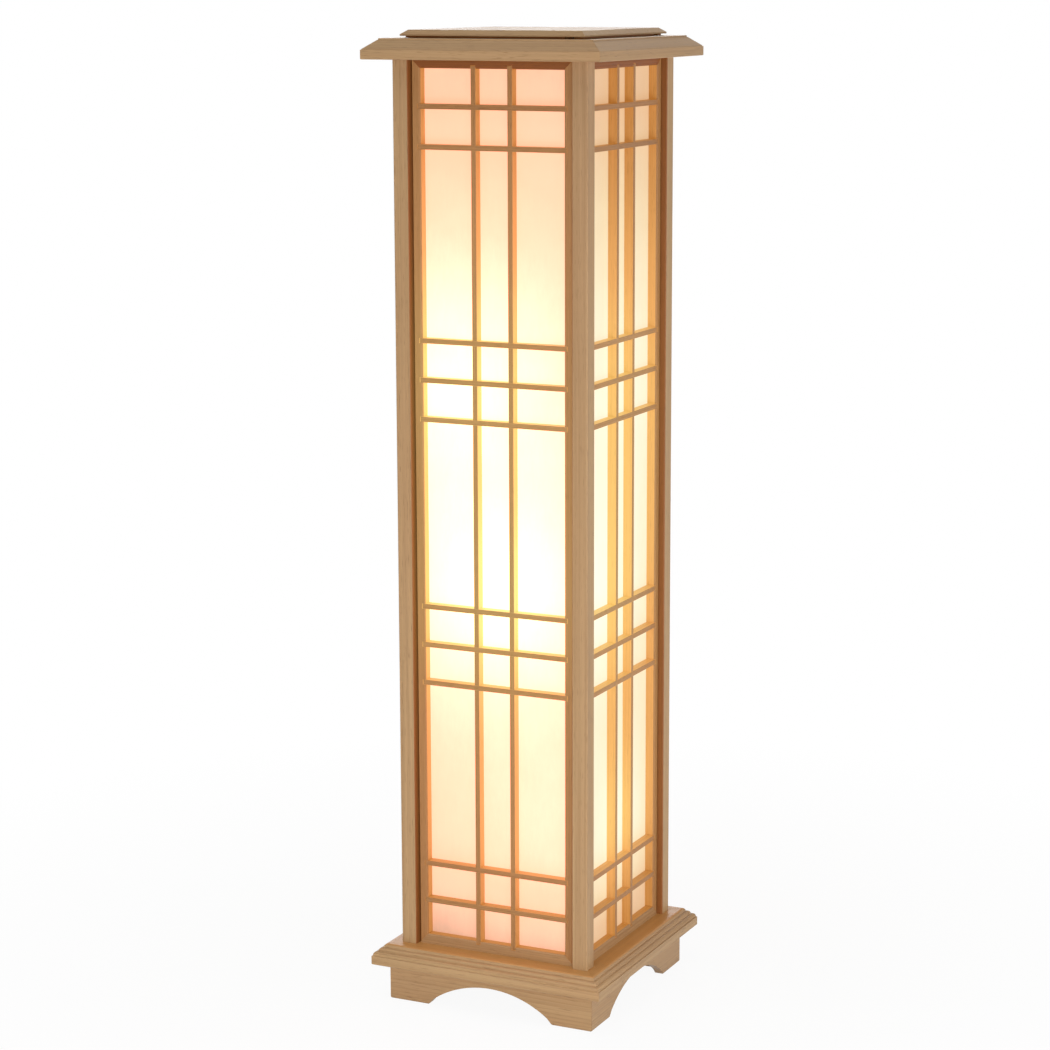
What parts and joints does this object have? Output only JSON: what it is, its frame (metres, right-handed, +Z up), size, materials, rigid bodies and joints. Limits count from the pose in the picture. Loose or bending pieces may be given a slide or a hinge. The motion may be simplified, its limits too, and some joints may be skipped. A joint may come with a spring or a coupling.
{
  "type": "andon floor lamp",
  "caption": "Tall square wooden floor lamp with lattice screens, translucent panes, arched foot and lift-off lid.",
  "frame": {"origin": "on the floor under the middle of the lamp", "axes": "+Z up, -Y towards the front screen, +X to its right"},
  "size_m": [0.26, 0.26, 1],
  "materials": {
    "pale_wood": "straight-grained pale softwood, clear matt lacquer",
    "diffuser_sheet": "translucent fibre-pattern sheet, lit from behind",
    "steel": "zinc plated",
    "porcelain": "white glaze",
    "brass": "bare stamped brass",
    "cap_aluminium": "rolled thread",
    "bulb_glass": "inside frosted, warm light",
    "black_rubber": "matt",
    "white_moulding": "satin moulding",
    "lead_sheath": "soft white sheath"
  },
  "bodies": {
    "cabinet": {"apron_front": "pale_wood", "apron_right": "pale_wood", "apron_back": "pale_wood", "apron_left": "pale_wood", "base_moulding_front": "pale_wood", "base_moulding_right": "pale_wood", "base_moulding_back": "pale_wood", "base_moulding_left": "pale_wood", "roof_moulding_front": "pale_wood", "roof_moulding_right": "pale_wood", "roof_moulding_back": "pale_wood", "roof_moulding_left": "pale_wood", "post_front_left": "pale_wood", "post_front_right": "pale_wood", "post_back_right": "pale_wood", "post_back_left": "pale_wood", "screen_frame_front": "pale_wood", "screen_frame_right": "pale_wood", "screen_frame_back": "pale_wood", "screen_frame_left": "pale_wood", "lattice_uprights_front": "pale_wood", "lattice_uprights_right": "pale_wood", "lattice_uprights_back": "pale_wood", "lattice_uprights_left": "pale_wood", "lattice_rails_front": "pale_wood", "lattice_rails_right": "pale_wood", "lattice_rails_back": "pale_wood", "lattice_rails_left": "pale_wood", "retaining_beads_front": "pale_wood", "retaining_beads_right": "pale_wood", "retaining_beads_back": "pale_wood", "retaining_beads_left": "pale_wood", "glue_blocks": "pale_wood", "bottom_board": "pale_wood", "light_batten": "pale_wood", "foot_blocks": "pale_wood", "diffuser_front": "diffuser_sheet", "diffuser_right": "diffuser_sheet", "diffuser_back": "diffuser_sheet", "diffuser_left": "diffuser_sheet", "wood_screws": "steel", "holder_brackets": "steel", "grommet": "black_rubber", "terminal_block": "white_moulding", "inner_leads": "lead_sheath", "lead_clips": "white_moulding", "lampholders": "porcelain", "lamp_contacts": "brass"},
    "lid": {"lid_board": "pale_wood", "neck_battens": "pale_wood", "lid_battens": "pale_wood"},
    "bulb_tip_upper": {"bulb_tip_upper": "brass"},
    "bulb_upper": {"bulb_cap_upper": "cap_aluminium", "bulb_glass_upper": "bulb_glass"},
    "bulb_tip_middle": {"bulb_tip_middle": "brass"},
    "bulb_middle": {"bulb_cap_middle": "cap_aluminium", "bulb_glass_middle": "bulb_glass"},
    "bulb_tip_lower": {"bulb_tip_lower": "brass"},
    "bulb_lower": {"bulb_cap_lower": "cap_aluminium", "bulb_glass_lower": "bulb_glass"}
  },
  "joints": [
    {"name": "lid_lift", "type": "slide", "parent": "cabinet", "child": "lid", "axis": [0, 0, 1], "range_m": [0, 0.06]},
    {"name": "bulb_upper_rise", "type": "slide", "parent": "cabinet", "child": "bulb_tip_upper", "axis": [0, 0, 1], "range_m": [0, 0.0109]},
    {"name": "bulb_upper_turn", "type": "hinge", "parent": "bulb_tip_upper", "child": "bulb_upper", "pos_m": [-0.044, 0, 0.602], "axis": [0, 0, 1], "range_deg": [0, 1080]},
    {"name": "bulb_middle_rise", "type": "slide", "parent": "cabinet", "child": "bulb_tip_middle", "axis": [0, 0, 1], "range_m": [0, 0.0109]},
    {"name": "bulb_middle_turn", "type": "hinge", "parent": "bulb_tip_middle", "child": "bulb_middle", "pos_m": [0, -0.044, 0.392], "axis": [0, 0, 1], "range_deg": [0, 1080]},
    {"name": "bulb_lower_rise", "type": "slide", "parent": "cabinet", "child": "bulb_tip_lower", "axis": [0, 0, 1], "range_m": [0, 0.0109]},
    {"name": "bulb_lower_turn", "type": "hinge", "parent": "bulb_tip_lower", "child": "bulb_lower", "pos_m": [0.044, 0, 0.142], "axis": [0, 0, 1], "range_deg": [0, 1080]}
  ],
  "couplings": [
    {"joint": "bulb_upper_rise", "follows": "bulb_upper_turn", "m_per_rad": 0.00057757},
    {"joint": "bulb_middle_rise", "follows": "bulb_middle_turn", "m_per_rad": 0.00057757},
    {"joint": "bulb_lower_rise", "follows": "bulb_lower_turn", "m_per_rad": 0.00057757}
  ]
}
